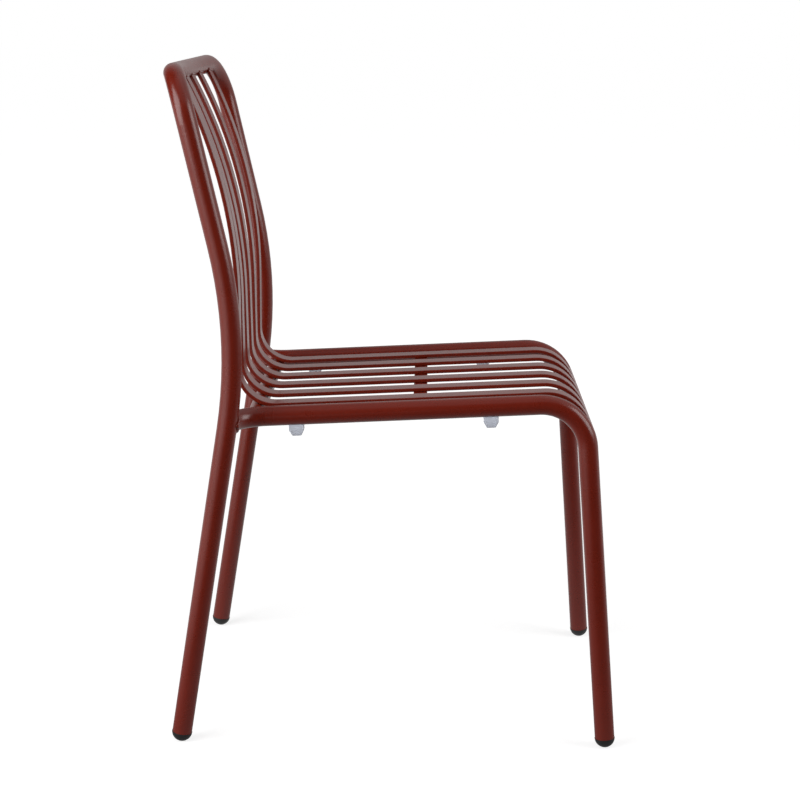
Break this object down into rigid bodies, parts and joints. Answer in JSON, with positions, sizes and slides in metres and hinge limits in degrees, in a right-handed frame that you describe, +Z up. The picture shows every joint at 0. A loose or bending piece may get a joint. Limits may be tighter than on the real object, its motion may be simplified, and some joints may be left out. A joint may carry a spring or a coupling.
{
  "type": "stacking side chair",
  "caption": "Armless stacking side chair of bent round tube with flat slats running from the top rail through the seat to the front.",
  "frame": {"origin": "on the floor, under the middle of the chair's width and depth", "axes": "+Z up from the floor to the top rail, the sitter faces -Y, +X to the sitter's left"},
  "size_m": [0.4558, 0.5882, 0.8472],
  "materials": {
    "frame_coat": "satin powder coat, dark red brown",
    "slat_coat": "satin powder coat, dark red brown",
    "foot_plastic": "matte black",
    "bumper_plastic": "cloudy clear plastic"
  },
  "bodies": {
    "root": {"back_frame": "frame_coat", "left_side_tube": "frame_coat", "right_side_tube": "frame_coat", "front_cross_tube": "frame_coat", "middle_support_bar": "frame_coat", "rear_cross_tube": "frame_coat", "slat_1": "slat_coat", "slat_2": "slat_coat", "slat_3": "slat_coat", "slat_4": "slat_coat", "slat_5": "slat_coat", "slat_6": "slat_coat", "foot_plug_front_left": "foot_plastic", "foot_plug_front_right": "foot_plastic", "foot_plug_rear_left": "foot_plastic", "foot_plug_rear_right": "foot_plastic", "stacking_bumper_front_left": "bumper_plastic", "stacking_bumper_front_right": "bumper_plastic", "stacking_bumper_rear_left": "bumper_plastic", "stacking_bumper_rear_right": "bumper_plastic"}
  },
  "joints": []
}
